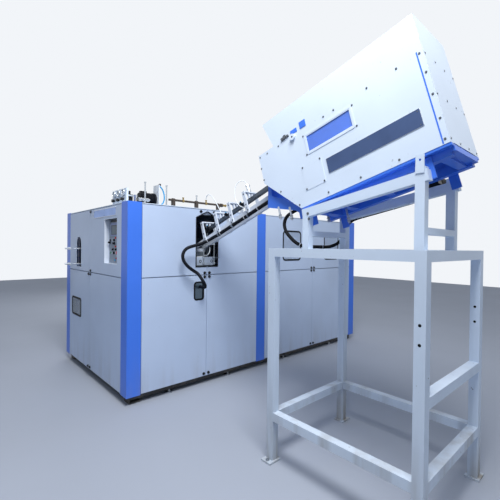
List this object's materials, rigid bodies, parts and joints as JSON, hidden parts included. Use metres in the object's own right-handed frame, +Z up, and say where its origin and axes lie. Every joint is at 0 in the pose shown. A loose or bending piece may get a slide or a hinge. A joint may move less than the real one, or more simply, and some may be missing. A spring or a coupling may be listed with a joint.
{
  "type": "blow moulding machine",
  "caption": "enclosed stretch blow moulding machine with hinged doors, an inclined preform chute, a preform unscrambler with hopper and its tube stand",
  "frame": {"origin": "centre of the four anchor holes under the cabinet, on the floor", "axes": "+X along the long front side to the right, +Y from the front side to the back, +Z up"},
  "size_m": [4.15, 4.622, 2.9322],
  "materials": {
    "blue_paint": "gloss powder coat",
    "door_paint": "satin powder coat, light grey",
    "white_paint": "white paint",
    "dark_paint": "dark paint",
    "bed_paint": "grey machine paint",
    "zinc_steel": "zinc plated steel",
    "aluminium": "brushed aluminium",
    "black_rubber": "edge trim rubber",
    "black_plastic": "moulded plastic",
    "clear_pane": "polycarbonate pane",
    "lamp_glass": "quartz heater tube",
    "red_plastic": "red mushroom head",
    "green_plastic": "green button",
    "plate_grey": "bare plate",
    "black_paint": "black enamel"
  },
  "bodies": {
    "cabinet": {"base_frame": "dark_paint", "levelling_feet": "zinc_steel", "inner_frame": "white_paint", "post_covers": "blue_paint", "roof_panel": "white_paint", "fixed_panels": "door_paint", "end_cover": "door_paint", "hinge_plates": "zinc_steel", "port_panel": "door_paint", "infeed_left_panel": "door_paint", "infeed_trim_left": "black_rubber", "port_plate": "zinc_steel", "outlet_rails": "aluminium", "machine_bed": "bed_paint", "oven_walls": "zinc_steel", "oven_lamps": "lamp_glass", "preform_chain": "zinc_steel", "clamp_frame": "bed_paint", "stretch_guides": "zinc_steel", "electrical_box": "white_paint", "gauge_manifold": "white_paint", "blower": "black_paint", "air_header": "bed_paint", "stand_frame": "white_paint", "upper_frame": "white_paint", "blue_underframe": "blue_paint", "side_covers": "white_paint", "hopper": "white_paint", "gear_motor": "black_paint", "chute": "aluminium", "conduit": "black_plastic", "power_cable": "black_rubber"},
    "infeed_door": {"infeed_right_door": "door_paint", "infeed_trim_right": "black_rubber"},
    "lower_door": {"lower_right_door": "door_paint"},
    "window_door_left": {"bay2_upper_left_door": "door_paint", "window_left": "clear_pane"},
    "window_door_right": {"bay2_upper_right_door": "door_paint", "window_right": "clear_pane"},
    "service_door_left": {"bay2_lower_left_door": "door_paint"},
    "service_door_right": {"bay2_lower_right_door": "door_paint"},
    "control": {"control_door": "door_paint", "control_tub": "white_paint", "control_screen": "black_plastic", "nameplate": "plate_grey"},
    "estop": {"estop_button": "red_plastic"},
    "start": {"start_button": "green_plastic"},
    "selector": {"selector_switch": "black_plastic"},
    "end_door_right": {"end_right_door": "door_paint"},
    "end_door_left": {"end_left_door": "door_paint", "window_end": "clear_pane"},
    "left_platen": {"mould_left": "aluminium"},
    "right_platen": {"mould_right": "aluminium"},
    "carriage": {"stretch_carriage": "aluminium"},
    "left_wheel": {"chain_wheel_left": "aluminium"},
    "right_wheel": {"chain_wheel_right": "aluminium"},
    "left_roller": {"sorting_roller_left": "zinc_steel"},
    "right_roller": {"sorting_roller_right": "zinc_steel"},
    "kicker": {"kick_wheel": "black_plastic"},
    "gate": {"gate_rod": "zinc_steel"}
  },
  "joints": [
    {"name": "infeed_door_hinge", "type": "hinge", "parent": "cabinet", "child": "infeed_door", "pos_m": [-0.305, -1, 1.6], "axis": [0, 0, 1], "range_deg": [0, 95]},
    {"name": "lower_door_hinge", "type": "hinge", "parent": "cabinet", "child": "lower_door", "pos_m": [-0.305, -1, 0.66], "axis": [0, 0, 1], "range_deg": [0, 95]},
    {"name": "window_door_left_hinge", "type": "hinge", "parent": "cabinet", "child": "window_door_left", "pos_m": [-0.13, -1, 1.6], "axis": [0, 0, -1], "range_deg": [0, 95]},
    {"name": "window_door_right_hinge", "type": "hinge", "parent": "cabinet", "child": "window_door_right", "pos_m": [1.84, -1, 1.6], "axis": [0, 0, 1], "range_deg": [0, 95]},
    {"name": "service_door_left_hinge", "type": "hinge", "parent": "cabinet", "child": "service_door_left", "pos_m": [-0.13, -1, 0.66], "axis": [0, 0, -1], "range_deg": [0, 95]},
    {"name": "service_door_right_hinge", "type": "hinge", "parent": "cabinet", "child": "service_door_right", "pos_m": [1.84, -1, 0.66], "axis": [0, 0, 1], "range_deg": [0, 95]},
    {"name": "control_door_hinge", "type": "hinge", "parent": "cabinet", "child": "control", "pos_m": [-1.99, -0.85, 1.6], "axis": [0, 0, 1], "range_deg": [0, 95]},
    {"name": "end_door_right_hinge", "type": "hinge", "parent": "cabinet", "child": "end_door_right", "pos_m": [-1.99, -0.85, 0.66], "axis": [0, 0, 1], "range_deg": [0, 95]},
    {"name": "end_door_left_hinge", "type": "hinge", "parent": "cabinet", "child": "end_door_left", "pos_m": [-1.99, 0.85, 0.66], "axis": [0, 0, -1], "range_deg": [0, 95]},
    {"name": "estop_press", "type": "slide", "parent": "control", "child": "estop", "axis": [1, 0, 0], "range_m": [0, 0.006]},
    {"name": "start_press", "type": "slide", "parent": "control", "child": "start", "axis": [1, 0, 0], "range_m": [0, 0.003], "stiffness_N_per_m": 400},
    {"name": "selector_turn", "type": "hinge", "parent": "control", "child": "selector", "pos_m": [-1.961, -0.58, 1.482], "axis": [1, 0, 0], "range_deg": [-45, 45]},
    {"name": "left_platen_slide", "type": "slide", "parent": "cabinet", "child": "left_platen", "axis": [1, 0, 0], "range_m": [0, 0.0897]},
    {"name": "right_platen_slide", "type": "slide", "parent": "cabinet", "child": "right_platen", "axis": [-1, 0, 0], "range_m": [0, 0.0897]},
    {"name": "stretch_slide", "type": "slide", "parent": "cabinet", "child": "carriage", "axis": [0, 0, -1], "range_m": [0, 0.27]},
    {"name": "left_wheel_spin", "type": "hinge", "parent": "cabinet", "child": "left_wheel", "pos_m": [-1.44, -0.21, 1.11], "axis": [0, 0, 1], "continuous": true},
    {"name": "right_wheel_spin", "type": "hinge", "parent": "cabinet", "child": "right_wheel", "pos_m": [0.66, -0.21, 1.11], "axis": [0, 0, 1], "continuous": true},
    {"name": "left_roller_spin", "type": "hinge", "parent": "cabinet", "child": "left_roller", "pos_m": [-1.1285, -2.9439, 2.40398], "axis": [0, -0.9636, 0.2672], "continuous": true},
    {"name": "right_roller_spin", "type": "hinge", "parent": "cabinet", "child": "right_roller", "pos_m": [-1.0165, -2.9439, 2.40398], "axis": [0, -0.9636, 0.2672], "continuous": true},
    {"name": "kick_wheel_spin", "type": "hinge", "parent": "cabinet", "child": "kicker", "pos_m": [-1.0725, -2.48516, 2.41167], "axis": [1, 0, 0], "continuous": true},
    {"name": "gate_slide", "type": "slide", "parent": "cabinet", "child": "gate", "axis": [0, -0.3551, -0.9348], "range_m": [0, 0.02]}
  ],
  "couplings": [
    {"joint": "right_platen_slide", "follows": "left_platen_slide", "ratio": 1},
    {"joint": "right_wheel_spin", "follows": "left_wheel_spin", "ratio": 1},
    {"joint": "right_roller_spin", "follows": "left_roller_spin", "ratio": -1}
  ]
}
